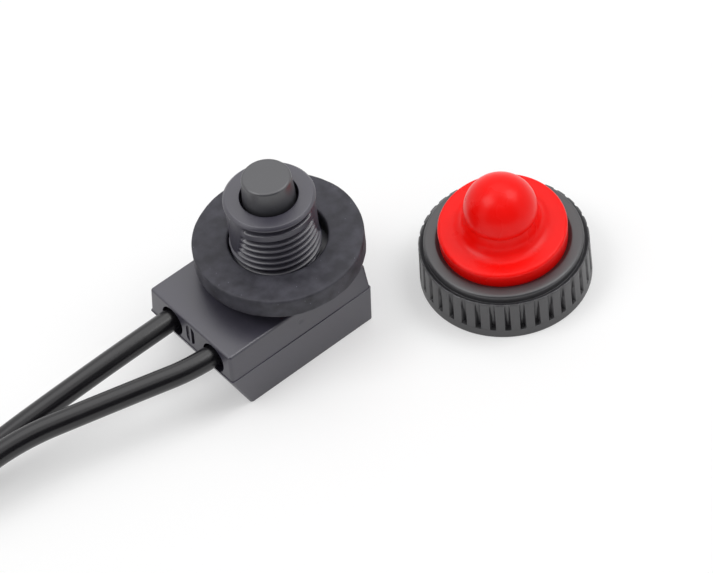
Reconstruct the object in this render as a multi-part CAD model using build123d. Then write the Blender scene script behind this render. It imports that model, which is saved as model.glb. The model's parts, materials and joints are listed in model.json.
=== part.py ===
from build123d import *
import os
from math import radians, tan

# Pushbutton switch with two leads, and its booted cap nut lying beside it.
# Millimetres, +Z up. The origin is on the bushing's axis, in the plane of the base's underside,
# and +X points away from the leads.

# Housing outline
plain_end = 8.0  # bushing axis to the end without leads
lead_end = 15.4  # bushing axis to the end with leads
housing_width = 17.4
base_height = 6.25
cover_height = 4.3
housing_edge = 0.4  # rounding of the outer edges
base_draft = 0.25  # each side of the base leans in by this much at its underside
cover_draft = 0.3  # each side of the cover leans in by this much at its top
parting_step = 0.12  # the cover stands in from the base by this much
lead_end_undercut = 2.5  # the base's lead end slopes in by this much at its underside

# Housing walls
wall = 1.5
base_floor = 1.4
cover_roof = 1.4
cover_end_wall = 2.4  # thick enough to grip the leads
lead_block = 4.0  # solid end of the base that the leads lie on
lip_thickness = 0.7
lip_height = 0.8
lip_clearance = 0.1

# Small moulded marks
gate_mark_width = 1.7
gate_mark_height = 3.1
gate_mark_bar = 0.4
gate_mark_depth = 0.6
latch_mark_dia = 2.4  # of the ball that its hollow fits
latch_mark_depth = 0.15
latch_mark_from_axis = 3.5  # towards the leads
latch_mark_height = 2.5  # above the base

# Bushing
bushing_dia = 12.0
bushing_length = 13.0
bushing_rim = 0.35  # chamfer at the top
seat_dia = 15.4
seat_height = 2.05
relief_dia = 11.2  # thread run-out inside the washer
flat_depth = 0.3
flat_bearings = (155.0, 335.0)  # degrees from +X
guide_length = 4.0
plunger_bore_dia = 9.0

# Push button
button_dia = 6.9
button_proud = 3.4
button_draft = 0.25  # its side leans in by this much above the bushing
button_edge = 0.35
button_travel = 2.4
button_clearance = 0.1
flange_thickness = 1.8
flange_clearance = 0.2
shoulder_clearance = 0.1
stem_step = 0.5  # shoulder that the contact bridge bears on
spigot_wall = 0.65
spigot_tail = 0.4

# Return spring
spring_dia = 4.2
spring_wire = 0.45
spring_length = 15.5
spring_turns = 8
spring_clearance = 0.2
boss_height = 1.5
boss_clearance = 0.15

# Contacts
bridge_thickness = 0.5
bridge_roof_clearance = 0.15
bridge_arm_width = 3.0
bridge_ring_width = 1.1
bridge_end = 0.2  # strip beyond the contact
bridge_fit = 0.05
retainer_thickness = 0.4
retainer_width = 0.8
contact_dia = 2.0
contact_height = 0.8
contact_crown = 0.25
contact_clearance = 0.05  # left between the contacts at full travel

# Terminals
terminal_thickness = 0.5
pad_width = 2.6
pad_side_clearance = 0.2
pad_past_contact = 0.4
tongue_width = 2.2
riser_from_axis = 8.6
crimp_length = 3.0
crimp_clearance = 0.02
peg_dia = 1.2
peg_from_axis = 4.5
peg_clearance = 0.05
peg_head = 0.3

# Leads
lead_dia = 3.0
core_dia = 1.3
lead_spacing = 8.6
tip_length = 8.0
lead_hole_dia = 4.2
lead_hole_shift = 0.5  # the hole is wider on the near side of the lead
lead_hole_rise = 0.25

# Sealing washer
washer_dia = 22.5
washer_hole = 13.6
washer_thickness = 3.0
washer_edge = 0.3
washer_to_thread = 0.1

# Cap nut
cap_x = 25.8
cap_y = -14.65
nut_dia = 23.0
nut_height = 7.0
nut_rim_dia = 21.2
nut_rim_height = 0.8
nut_rim_round = 0.4
nut_lip = 1.4
nut_mouth_dia = 16.8
nut_dish_dia = 18.0
nut_dish = 0.4  # the top slopes down by this much to the mouth
nut_seat_dia = 18.6
nut_clearance = 0.1
rib_draft = 0.2
rib_slope = 0.4  # the tops of the ribs fall by this much to a groove round the rim
slot_count = 36
slot_width = 0.75
slot_depth = 0.65
slot_foot = 1.3

# Rubber boot
boot_fit = 0.1
boot_flange = 1.2
boot_plate_dia = 17.2
boot_flare_height = 0.6  # full width of the plate, above the nut
boot_plate_height = 2.3
boot_plate_round = 0.5
boot_foot_dia = 11.5  # foot of the neck, on the plate
boot_foot_round = 0.3
boot_neck_dia = 9.6
boot_dome_dia = 9.8
boot_dome_height = 5.9  # centre of the dome, above the nut
boot_bushing_room = 0.3
boot_bushing_roof = 0.3  # above the nut
boot_button_room = 0.35
boot_button_head = 2.6

# Heights in the housing, from the underside up
cover_top = base_height + cover_height
cover_under = cover_top - cover_roof
seat_top = cover_top + seat_height
washer_top = seat_top + washer_thickness
thread_start = washer_top + washer_to_thread
bushing_top = cover_top + bushing_length
shoulder = bushing_top - guide_length
button_top = bushing_top + button_proud
flange_top = shoulder - shoulder_clearance
bridge_top = cover_under - bridge_roof_clearance
bridge_bottom = bridge_top - bridge_thickness
moving_face = bridge_bottom - contact_height
fixed_face = moving_face - button_travel - contact_clearance
terminal_top = fixed_face - contact_height
terminal_bottom = terminal_top - terminal_thickness
lead_axis = base_height + lead_dia / 2

# Places in plan
half_width = housing_width / 2
pocket_half = half_width - wall - lip_clearance - lip_thickness
pocket_plain_end = plain_end - wall - lip_clearance - lip_thickness
pocket_lead_end = lead_end - lead_block
grip_face = lead_end - cover_end_wall
contact_y = pocket_half - pad_side_clearance - pad_width / 2
lead_y = lead_spacing / 2
pad_end = contact_dia / 2 + pad_past_contact

# Round sizes that follow from their neighbours
guide_bore_dia = button_dia + 2 * button_clearance
flange_dia = plunger_bore_dia - 2 * flange_clearance
spring_room_dia = spring_dia + 2 * spring_clearance
spigot_dia = spring_room_dia + 2 * spigot_wall
stem_dia = spigot_dia + 2 * stem_step
boss_dia = spring_dia - 2 * spring_wire - 2 * boss_clearance
nut_bore_dia = bushing_dia + 2 * nut_clearance

# Lead routes, from the grip in the cover to the stripped end. They lie on the table past their bend.
far_route = [
    (-grip_face, lead_y, lead_axis),
    (-17.5, 4.3, 7.75),
    (-25.0, 4.5, 7.4),
    (-33.5, 4.9, 6.55),
    (-41.5, 5.3, 5.6),
    (-49.3, 5.8, 3.9),
    (-56.6, 9.9, 2.0),
    (-61.2, 17.2, 1.55),
    (-61.3, 25.8, 1.55),
    (-57.0, 33.3, 1.55),
    (-49.5, 37.5, 1.55),
    (-40.9, 37.3, 1.55),
    (-34.5, 35.5, 1.55),
]
near_route = [
    (-grip_face, -lead_y, lead_axis),
    (-17.5, -4.3, 7.75),
    (-24.5, -2.4, 7.85),
    (-32.5, -0.3, 7.95),
    (-40.5, 1.9, 7.9),
    (-48.2, 2.6, 7.0),
    (-56.0, 3.9, 5.2),
    (-62.8, 8.4, 3.0),
    (-66.7, 15.7, 1.6),
    (-67.0, 24.2, 1.55),
    (-64.1, 32.0, 1.55),
    (-58.2, 37.9, 1.55),
    (-50.4, 40.7, 1.55),
]
bend_share = 0.45  # of the shorter run, taken up by each bend


def block(x_low, x_high, y_low, y_high, z_low, z_high):
    """A box given by its limits."""
    size = (x_high - x_low, y_high - y_low, z_high - z_low)
    return Pos(x_low, y_low, z_low) * Box(*size, align=Align.MIN)


def post(dia, z_low, z_high, x=0.0, y=0.0):
    """An upright cylinder between two heights."""
    base = (Align.CENTER, Align.CENTER, Align.MIN)
    return Pos(x, y, z_low) * Cylinder(dia / 2, z_high - z_low, align=base)


def rod(dia, x_low, x_high, y, z):
    """A cylinder along X between two places."""
    base = (Align.CENTER, Align.CENTER, Align.MIN)
    return Pos(x_low, y, z) * Rot(0, 90, 0) * Cylinder(dia / 2, x_high - x_low, align=base)


def outline(lead_inset, inset, z):
    """The housing's rectangle at height z, drawn in from its full size."""
    x_low = -lead_end + lead_inset
    x_high = plain_end - inset
    middle = Pos((x_low + x_high) / 2, 0, z)
    return middle * Rectangle(x_high - x_low, housing_width - 2 * inset)


def turned(edges):
    """A solid of revolution about Z from a profile drawn as radius and height."""
    return revolve(Plane.XZ * make_face(edges), Axis.Z)


def upright_edges(solid):
    """Edges of a drafted block that run from its lower to its upper face."""
    flat = solid.edges().filter_by(GeomType.LINE).filter_by(Plane.XY)
    return [edge for edge in solid.edges() if edge not in flat]


def base_shell():
    lower = outline(lead_end_undercut, base_draft, 0)
    upper = outline(0, 0, base_height)
    shell = loft([lower, upper])
    shell = fillet(upright_edges(shell), housing_edge)
    lip_half = pocket_half + lip_thickness
    lip_end = pocket_plain_end + lip_thickness
    shell += block(-pocket_lead_end, lip_end, -lip_half, lip_half, base_floor, base_height + lip_height)
    rim = base_height + lip_height
    shell -= block(-pocket_lead_end, pocket_plain_end, -pocket_half, pocket_half, base_floor, rim)
    shell += post(boss_dia, base_floor, base_floor + boss_height)
    for side in (1, -1):
        y_low = side * contact_y - pad_width / 2
        y_high = side * contact_y + pad_width / 2
        shell += block(-riser_from_axis, pad_end, y_low, y_high, base_floor, terminal_bottom)
        peg_top = terminal_top + peg_head
        shell += post(peg_dia, terminal_bottom, peg_top, -peg_from_axis, side * contact_y)
    return shell


def lead_hole(side):
    """The way out for one lead, loose above it and on its near side."""
    y = side * lead_y - lead_hole_shift
    return rod(lead_hole_dia, -lead_end, -grip_face, y, lead_axis + lead_hole_rise)


def gate_mark():
    """A shallow oval with an upright bar, between the leads."""
    middle = base_height + cover_height / 2
    inward = Plane(origin=(-lead_end, 0, middle), x_dir=(0, 1, 0), z_dir=(1, 0, 0))
    oval = inward * (Rot(0, 0, 90) * SlotOverall(gate_mark_height, gate_mark_width))
    bar = inward * Rectangle(gate_mark_bar, gate_mark_height)
    depth = parting_step + cover_draft / 2 + gate_mark_depth
    return extrude(oval - bar, depth)


def latch_mark(side):
    """A small round hollow in one long side of the cover."""
    skin = half_width - parting_step - cover_draft / 2
    y = side * (skin - latch_mark_depth + latch_mark_dia / 2)
    return Pos(-latch_mark_from_axis, y, base_height + latch_mark_height) * Sphere(latch_mark_dia / 2)


def bushing_cover():
    lower = outline(parting_step, parting_step, base_height)
    upper = outline(parting_step + cover_draft, parting_step + cover_draft, cover_top)
    cover = loft([lower, upper])
    cover = fillet(upright_edges(cover) + cover.edges().group_by(Axis.Z)[-1], housing_edge)
    cover += post(seat_dia, cover_top - cover_roof / 2, seat_top)
    cover += post(relief_dia, seat_top, thread_start)
    thread = post(bushing_dia, thread_start, bushing_top)
    thread = chamfer(thread.edges().group_by(Axis.Z)[-1], bushing_rim)
    flat_from = bushing_dia / 2 - flat_depth
    flat = block(flat_from, bushing_dia, -bushing_dia, bushing_dia, thread_start, bushing_top)
    cover += thread - [Rot(0, 0, bearing) * flat for bearing in flat_bearings]
    inner_half = half_width - wall
    cover -= block(-grip_face, plain_end - wall, -inner_half, inner_half, base_height, cover_under)
    cover -= post(plunger_bore_dia, cover_under, shoulder)
    cover -= post(guide_bore_dia, shoulder, bushing_top)
    for side in (1, -1):
        cover -= lead_hole(side)
        cover -= latch_mark(side)
    return cover - gate_mark()


def push_button():
    radius = button_dia / 2
    sides = [
        (0, flange_top),
        (radius, flange_top),
        (radius, bushing_top),
        (radius - button_draft, button_top),
        (0, button_top),
    ]
    button = turned(Polyline(*sides, close=True))
    button = fillet(button.edges().group_by(Axis.Z)[-1], button_edge)
    flange_bottom = flange_top - flange_thickness
    button += post(flange_dia, flange_bottom, flange_top)
    button += post(stem_dia, bridge_top, flange_bottom)
    spigot_end = bridge_bottom - retainer_thickness - spigot_tail
    button += post(spigot_dia, spigot_end, bridge_top)
    return button - post(spring_room_dia, spigot_end, base_floor + spring_length)


def return_spring():
    radius = (spring_dia - spring_wire) / 2
    rise = spring_length - spring_wire
    coil = Helix(rise / spring_turns, rise, radius, center=(0, 0, base_floor + spring_wire / 2))
    section = Plane(origin=coil @ 0, z_dir=coil % 0) * Circle(spring_wire / 2)
    return sweep(section, path=coil, is_frenet=True)


def contact_bridge():
    ring_dia = spigot_dia + 2 * bridge_fit + 2 * bridge_ring_width
    half_arm = contact_y + contact_dia / 2 + bridge_end
    half_arm_width = bridge_arm_width / 2
    strip = block(-half_arm_width, half_arm_width, -half_arm, half_arm, bridge_bottom, bridge_top)
    strip += post(ring_dia, bridge_bottom, bridge_top)
    return strip - post(spigot_dia + 2 * bridge_fit, bridge_bottom, bridge_top)


def bridge_retainer():
    inner = spigot_dia + 2 * bridge_fit
    outer = inner + 2 * retainer_width
    low = bridge_bottom - retainer_thickness
    return post(outer, low, bridge_bottom) - post(inner, low, bridge_bottom)


def bridge_contact(side):
    contact = post(contact_dia, moving_face, bridge_bottom, 0, side * contact_y)
    return fillet(contact.edges().group_by(Axis.Z)[0], contact_crown)


def fixed_contact(side):
    contact = post(contact_dia, terminal_top, fixed_face, 0, side * contact_y)
    return fillet(contact.edges().group_by(Axis.Z)[-1], contact_crown)


def terminal(side):
    """A brass strip folded up from its contact pad to a crimp barrel at the lead."""
    pad_low = side * contact_y - pad_width / 2
    pad_high = side * contact_y + pad_width / 2
    strip = block(-riser_from_axis, pad_end, pad_low, pad_high, terminal_bottom, terminal_top)
    tongue_low = side * lead_y - tongue_width / 2
    tongue_high = side * lead_y + tongue_width / 2
    core_room = core_dia + 2 * crimp_clearance
    tongue_top = lead_axis - core_room / 2
    tongue_bottom = tongue_top - terminal_thickness
    riser_face = terminal_thickness - riser_from_axis
    crimp_start = -pocket_lead_end
    strip += block(-riser_from_axis, riser_face, tongue_low, tongue_high, terminal_bottom, tongue_top)
    strip += block(crimp_start, riser_face, tongue_low, tongue_high, tongue_bottom, tongue_top)
    crimp_end = crimp_start + crimp_length
    barrel_dia = core_room + 2 * terminal_thickness
    strip += rod(barrel_dia, crimp_start, crimp_end, side * lead_y, lead_axis)
    strip -= rod(core_room, crimp_start, crimp_end, side * lead_y, lead_axis)
    peg_hole = peg_dia + 2 * peg_clearance
    return strip - post(peg_hole, terminal_bottom, terminal_top, -peg_from_axis, side * contact_y)


def bend_radii(points):
    """The largest bend that the runs beside each corner leave room for."""
    spots = [Vector(*point) for point in points]
    radii = []
    for before, here, after in zip(spots, spots[1:], spots[2:]):
        shorter = min((here - before).length, (after - here).length)
        turn = (here - before).get_angle(after - here)
        radii.append(bend_share * shorter / tan(radians(turn / 2)))
    return radii


def lead(name, points):
    """One insulated lead along its route. Its bends and its volume against its length are printed."""
    radii = bend_radii(points)
    path = FilletPolyline(*points, radius=radii)
    section = Plane(origin=path @ 0, z_dir=path % 0) * Circle(lead_dia / 2)
    tube = sweep(section, path=path)
    share = tube.volume / (section.area * path.length)
    print(name, "length", round(path.length, 1), "volume share", round(share, 4))
    print(name, "bend radii", [round(radius, 1) for radius in radii])
    return tube


def lead_core(side):
    return rod(core_dia, -grip_face, crimp_length - pocket_lead_end, side * lead_y, lead_axis)


def lead_tip(points):
    end = Vector(*points[-1])
    along = (end - Vector(*points[-2])).normalized()
    return extrude(Plane(origin=end, z_dir=along) * Circle(core_dia / 2), tip_length)


def sealing_washer():
    washer = post(washer_dia, seat_top, washer_top) - post(washer_hole, seat_top, washer_top)
    return fillet(washer.edges().filter_by(GeomType.CIRCLE), washer_edge)


def knurled_nut():
    outer = nut_dia / 2
    rib_radius = outer - rib_draft
    rib_top = nut_height - nut_rim_height
    seat_high = nut_height - nut_lip
    seat_low = seat_high - boot_flange
    corners = [
        (nut_bore_dia / 2, 0),
        (outer, 0),
        (rib_radius, rib_top),
        (nut_rim_dia / 2, rib_top - rib_slope),
        (nut_rim_dia / 2, nut_height),
        (nut_dish_dia / 2, nut_height),
        (nut_mouth_dia / 2, nut_height - nut_dish),
        (nut_mouth_dia / 2, seat_high),
        (nut_seat_dia / 2, seat_high),
        (nut_seat_dia / 2, seat_low),
        (nut_bore_dia / 2, seat_low),
    ]
    nut = turned(Polyline(*corners, close=True))
    rim_edge = nut.edges().group_by(Axis.Z)[-1].sort_by(SortBy.RADIUS)[-1]
    nut = fillet(rim_edge, nut_rim_round)
    slot_floor = rib_radius - slot_depth
    slot = block(slot_floor, nut_dia, -slot_width / 2, slot_width / 2, slot_foot, rib_top)
    nut -= [place * slot for place in PolarLocations(0, slot_count)]
    return Pos(cap_x, cap_y, 0) * nut


def rubber_boot():
    seat_high = nut_height - nut_lip
    seat_low = seat_high - boot_flange
    bushing_room = bushing_dia / 2 + boot_bushing_room
    flange_radius = nut_seat_dia / 2 - boot_fit
    waist = nut_mouth_dia / 2 - boot_fit
    plate = boot_plate_dia / 2
    dome = boot_dome_dia / 2
    dome_centre = nut_height + boot_dome_height
    dome_side = (dome * 0.5**0.5, dome_centre + dome * 0.5**0.5)
    bushing_roof = nut_height + boot_bushing_roof
    button_room = button_dia / 2 + boot_button_room
    button_roof = bushing_roof + button_proud + boot_button_head
    flare_end = (plate, nut_height + boot_flare_height)
    plate_top = nut_height + boot_plate_height
    foot = (boot_foot_dia / 2, plate_top)
    neck_end = (boot_neck_dia / 2, dome_centre)
    rounding = [boot_plate_round, boot_foot_round]
    edges = [
        Polyline((bushing_room, bushing_roof), (bushing_room, seat_low), (flange_radius, seat_low)),
        Polyline((flange_radius, seat_low), (flange_radius, seat_high), (waist, seat_high)),
        Polyline((waist, seat_high), (waist, nut_height - nut_dish), flare_end),
        FilletPolyline(flare_end, (plate, plate_top), foot, neck_end, radius=rounding),
        Line(neck_end, (dome, dome_centre)),
        ThreePointArc((dome, dome_centre), dome_side, (0, dome_centre + dome)),
        Polyline((0, dome_centre + dome), (0, button_roof), (button_room, button_roof)),
        Polyline((button_room, button_roof), (button_room, bushing_roof), (bushing_room, bushing_roof)),
    ]
    return Pos(cap_x, cap_y, 0) * turned(edges)


pieces = {
    "base_shell": base_shell(),
    "bushing_cover": bushing_cover(),
    "push_button": push_button(),
    "return_spring": return_spring(),
    "contact_bridge": contact_bridge(),
    "bridge_retainer": bridge_retainer(),
    "sealing_washer": sealing_washer(),
    "knurled_nut": knurled_nut(),
    "rubber_boot": rubber_boot(),
}
for place, side, route in (("far", 1, far_route), ("near", -1, near_route)):
    pieces[place + "_bridge_contact"] = bridge_contact(side)
    pieces[place + "_fixed_contact"] = fixed_contact(side)
    pieces[place + "_terminal"] = terminal(side)
    pieces[place + "_lead"] = lead(place + "_lead", route)
    pieces[place + "_lead_core"] = lead_core(side)
    pieces[place + "_lead_tip"] = lead_tip(route)

os.makedirs("parts", exist_ok=True)
for node, solid in pieces.items():
    export_step(solid, f"parts/{node}.step")
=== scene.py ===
import json
from math import atan2, ceil, cos, floor, pi, radians, sin, tan, tau

import bmesh
import bpy
from mathutils import Matrix, Vector, noise


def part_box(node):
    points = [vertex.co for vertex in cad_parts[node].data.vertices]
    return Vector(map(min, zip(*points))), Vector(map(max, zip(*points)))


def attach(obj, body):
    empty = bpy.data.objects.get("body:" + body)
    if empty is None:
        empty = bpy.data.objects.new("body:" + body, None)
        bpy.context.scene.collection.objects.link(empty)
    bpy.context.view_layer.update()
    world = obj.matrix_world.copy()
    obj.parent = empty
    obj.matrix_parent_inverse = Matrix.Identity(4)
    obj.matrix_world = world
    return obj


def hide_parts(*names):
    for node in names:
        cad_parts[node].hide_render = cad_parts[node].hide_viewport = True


bl_info = {
    "name": "Pushbutton switch",
    "version": (1, 0, 0),
    "blender": (4, 5, 0),
    "location": "3D View > Sidebar > Switch",
    "description": "Dresses a panel pushbutton switch, its leads and its booted cap nut",
    "category": "Add Mesh",
}

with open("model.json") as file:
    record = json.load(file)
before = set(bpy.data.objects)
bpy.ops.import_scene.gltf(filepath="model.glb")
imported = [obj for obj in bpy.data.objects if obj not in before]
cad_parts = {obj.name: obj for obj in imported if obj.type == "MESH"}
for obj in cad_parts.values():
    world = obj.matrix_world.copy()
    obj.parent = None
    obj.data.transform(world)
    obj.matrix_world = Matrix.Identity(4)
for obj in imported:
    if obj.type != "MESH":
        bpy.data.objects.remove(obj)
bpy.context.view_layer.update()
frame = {"nodes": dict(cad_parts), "record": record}
MM = 0.001

# Places and sizes that the frame gives
COVER_LOW, COVER_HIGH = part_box("bushing_cover")
WASHER_LOW, WASHER_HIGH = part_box("sealing_washer")
NUT_LOW, NUT_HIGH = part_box("knurled_nut")
TIP_LOW, TIP_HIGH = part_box("far_lead_tip")
MOUNTS = {mount["name"]: mount for mount in frame["record"]["mounts"]}
CREST_RADIUS = MOUNTS["bushing"]["dims"]["r_mm"] * MM
PARTING = COVER_LOW.z
BUSHING_TOP = COVER_HIGH.z
NUT_RADIUS = (NUT_HIGH.x - NUT_LOW.x) / 2
CAP_CENTRE = Vector(((NUT_LOW.x + NUT_HIGH.x) / 2, (NUT_LOW.y + NUT_HIGH.y) / 2, 0))

# Mesh fineness
WELD = 0.002 * MM
HAIR = 0.01 * MM  # spots this close in height count as level
FLAT_ANGLE = radians(0.2)
SHARP_ANGLE = radians(32)
ARC_STEPS = 5
ARC_STEP = 0.15 * MM
COLUMNS = 192
FINE_STEP = 0.3 * MM

# Bushing section, as radius and height above the base
BUSHING_CUT = 13.5 * MM  # the plain neck ends here and the threaded ring begins
BUSHING_SINK = 0.3 * MM  # the ring reaches this far into the neck
BUSHING_CHAMFER = 0.35 * MM
RUN_OUT_LOW = 13.7 * MM
RUN_OUT_HIGH = 14.1 * MM
GUIDE_MOUTH = 3.8 * MM
GUIDE_MOUTH_DEPTH = 2.0 * MM
GUIDE_BORE = 3.55 * MM
PLUNGER_BORE = 4.5 * MM
GUIDE_SHOULDER = 19.55 * MM
FIRST_CREST = 21.29 * MM  # height of the uppermost crest at the bearing that faces the camera
FIRST_CREST_BEARING = radians(235.4)
LAND_FOOT = 15.9 * MM  # the lands taper out here
THREAD_ROWS_PER_TURN = 22
GROOVE_FLOOR, CREST_EDGE = 0.2, 0.9  # the flank rises between these shares of the way up to a crest
TOP_GROOVE_START, TOP_GROOVE_DEEP = 0.7, 0.95  # turns above the first crest, up to the rim's groove
RIM_EASE = 0.12 * MM
LAND_TAPER = 0.3  # power of the height that widens a land upwards
LAND_EDGE = radians(4)

# Washer
WASHER_HOLE = 6.5 * MM
WASHER_OFF_CENTRE = Vector((0.25, -0.2, 0)) * MM
WASHER_WAVES = 1.7  # slow waves in the outline, per radian
WASHER_NOISE_AT = Vector((3.1, 0.4, 0))
FLASH_HEIGHT = 0.6 * MM
FLASH_SHARE = 0.6  # of the outline's wander
FLASH_LUMP_MM = 1.2
TOP_SHARE = 0.5  # of the outline's wander, up and down

# Cap nut section
RIB_DRAFT = 0.2 * MM
RIB_SLOPE = 0.4 * MM  # fall of the ribs' tops to the groove round the rim
RIB_TOP = 6.2 * MM
NUT_RIM = 10.6 * MM
NUT_DISH = 9.0 * MM
NUT_DISH_DEPTH = 0.4 * MM
NUT_BORE = 6.1 * MM
NUT_SEAT = 9.3 * MM
NUT_SEAT_LOW = 4.4 * MM
NUT_SEAT_HIGH = 5.6 * MM
NUT_MOUTH = 8.4 * MM
SLOT_FOOT = 1.3 * MM
SLOT_FOOT_EASE = 0.06 * MM
SLOT_LIP = 0.05 * MM
SLOT_RISE = 0.55  # share of its depth that a slot has lost at its top

# Rubber boot section, as radius and height above the floor
BOOT_FLANGE = 9.2 * MM
BOOT_WAIST = 8.3 * MM
BOOT_SKIRT = 8.47 * MM
BOOT_SKIRT_LOW = 6.66 * MM
BOOT_PLATE = 8.57 * MM
BOOT_PLATE_TOP = 9.6 * MM
BOOT_FOOT = 5.3 * MM
BOOT_FOOT_SWEEP = 1.8 * MM  # radius of the sweep from the neck to the plate
BOOT_NECK = 4.65 * MM
BOOT_LIP = 12.4 * MM
BOOT_DOME = 4.9 * MM
BOOT_DOME_CENTRE = 12.85 * MM
BOOT_BUSHING_ROOM = 6.3 * MM
BOOT_BUSHING_ROOF = 7.3 * MM
BOOT_BUTTON_ROOM = 3.8 * MM
BOOT_BUTTON_ROOF = 13.3 * MM
BOOT_LEAN = radians(4.6)  # the soft boot sits askew in the nut
BOOT_LEAN_BEARING = radians(215)
BOOT_LEAN_FROM = 6.6 * MM
BOOT_POLE = 0.02 * MM  # radius that stands for the axis
DOME_STEPS = 32

# Lead routes in millimetres, from the grip in the cover to the stripped end
FAR_ROUTE = [
    (-13.0, 4.3, 7.75),
    (-17.5, 4.3, 7.75),
    (-25.0, 4.5, 7.4),
    (-33.5, 4.9, 6.55),
    (-41.5, 5.3, 5.6),
    (-49.3, 5.8, 3.9),
    (-56.6, 9.9, 2.0),
    (-61.2, 17.2, 1.55),
    (-61.3, 25.8, 1.55),
    (-57.0, 33.3, 1.55),
    (-49.5, 37.5, 1.55),
    (-40.9, 37.3, 1.55),
    (-34.5, 35.5, 1.55),
]
NEAR_ROUTE = [
    (-13.0, -4.3, 7.75),
    (-17.5, -4.3, 7.75),
    (-24.5, -2.4, 7.85),
    (-32.5, -0.3, 7.95),
    (-40.5, 1.9, 7.9),
    (-48.2, 2.6, 7.0),
    (-56.0, 3.9, 5.2),
    (-62.8, 8.4, 3.0),
    (-66.7, 15.7, 1.6),
    (-67.0, 24.2, 1.55),
    (-64.1, 32.0, 1.55),
    (-58.2, 37.9, 1.55),
    (-50.4, 40.7, 1.55),
]
TIP_LENGTH = 8.0 * MM
STRAND_LAY = 9.0 * MM  # length of one full twist
STRAND_SIDES = 10
STRAND_ROWS = 24

# Camera, fitted to the photograph
PHOTO_WIDTH = 713
CAMERA_AZIMUTH = radians(-34.56)
CAMERA_ELEVATION = radians(49.12)
CAMERA_ROLL = radians(-7.375)
CAMERA_DISTANCE = 414.09 * MM
CAMERA_TARGET = Vector((9.690, -2.778, 0.0)) * MM
FOCAL_PIXELS = 3107.1
SENSOR_WIDTH = 36.0

# Studio
FLOOR_SIZE = 6.0
FLOOR_DROP = 0.02 * MM
PAPER = "#f9f9f9"  # what the floor throws back on the switch
PAPER_SEEN = "#cbcbcb"  # what the eye sees of it, under the glow
FLOOR_GLOW = 0.38
WORLD_LIGHT = 0.44
LAMP_DISTANCE = 0.6
LAMPS = (  # name, direction, width in metres and power in watts
    ("top_softbox", (0.22, 0.25, 0.94), 0.5, 0.85),
    ("left_softbox", (-0.51, 0.23, 0.83), 0.3, 1.05),
    ("right_softbox", (0.49, -0.27, 0.82), 0.3, 1.05),
)
CARD = "#272727"
CARD_DISTANCE = 0.9
CARD_HEIGHT = radians(50)
CARD_HALF_WIDTH = radians(50)
CARD_ROWS = 8
CARD_COLUMNS = 24


def linear(hex_code):
    """An sRGB hex colour as linear red, green and blue."""
    parts = [int(hex_code[i : i + 2], 16) / 255 for i in (1, 3, 5)]
    return tuple(p / 12.92 if p <= 0.04045 else ((p + 0.055) / 1.055) ** 2.4 for p in parts)


def size_property(name, description, millimetres):
    """A length that a user may change, given in millimetres and kept in metres."""
    return bpy.props.FloatProperty(
        name=name,
        description=description,
        default=millimetres * MM,
        min=0,
        unit="LENGTH",
        precision=5,
    )


def colour_property(name, description, hex_code):
    """A colour that a user may change, given as an sRGB hex value."""
    return bpy.props.FloatVectorProperty(
        name=name,
        description=description,
        default=linear(hex_code),
        size=3,
        min=0,
        max=1,
        subtype="COLOR",
    )


class SwitchSizes(bpy.types.PropertyGroup):
    """Sizes of the switch that the frame doesn't fix"""

    edge: size_property("Edge rounding", "Rounding of the housing's moulded edges", 0.12)
    thread_pitch: size_property("Thread pitch", "Rise of the bushing's thread in one turn", 1.1)
    thread_depth: size_property("Thread depth", "Height of the thread from root to crest", 0.7)
    thread_rim: size_property("Plain rim", "Height of the plain rim above the thread", 0.5)
    land_depth: size_property("Land depth", "How far the plain lands lie inside the crests", 0.2)
    land_angle: bpy.props.FloatProperty(
        name="Land bearing",
        description="Bearing of one of the two plain lands that interrupt the thread",
        default=radians(155),
        subtype="ANGLE",
    )
    land_half: bpy.props.FloatProperty(
        name="Land half width",
        description="Half of the angle that each plain land takes up at the rim",
        default=radians(44),
        subtype="ANGLE",
    )
    washer_wander: size_property(
        "Washer wander", "How far the washer's outline wanders from a circle", 0.12
    )
    slot_count: bpy.props.IntProperty(
        name="Slots",
        description="Number of grip slots around the cap nut",
        default=36,
        min=8,
        max=72,
    )
    slot_depth: size_property("Slot depth", "Depth of a grip slot at its foot", 0.85)
    slot_width: size_property("Slot width", "Width of a grip slot at its foot", 0.75)
    lead_diameter: size_property("Lead diameter", "Outside diameter of the leads' insulation", 3.0)
    strand_count: bpy.props.IntProperty(
        name="Outer strands",
        description="Strands twisted round the middle one",
        default=6,
        min=3,
        max=12,
    )


class SwitchColours(bpy.types.PropertyGroup):
    """Colours of the switch's materials"""

    housing: colour_property("Housing", "Plastic of both housing halves", "#373540")
    button: colour_property("Button", "Plastic of the push button", "#38383c")
    nut: colour_property("Cap nut", "Plastic of the cap nut", "#2e2d30")
    washer: colour_property("Washer", "Rubber of the washer", "#1d1c25")
    # Mixed into the washer in pale clouds, partly dusty bloom and partly painted light on lit
    # patches; also the colour of its pale specks.
    dust_and_painted_light: colour_property("Dust", "Dust and bloom on the washer", "#605f69")
    boot: colour_property("Boot", "Rubber of the boot", "#fb0c06")
    insulation: colour_property("Leads", "Insulation of the leads", "#151417")
    tin: colour_property("Tinned copper", "Stripped ends of the leads", "#c9c6bf")
    brass: colour_property("Brass", "Terminals and contact strip", "#d9b365")
    silver: colour_property("Silver", "Contacts", "#e4e3e0")
    steel: colour_property("Steel", "Spring and push-on ring", "#a9a9ab")


# Meshes


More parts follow.
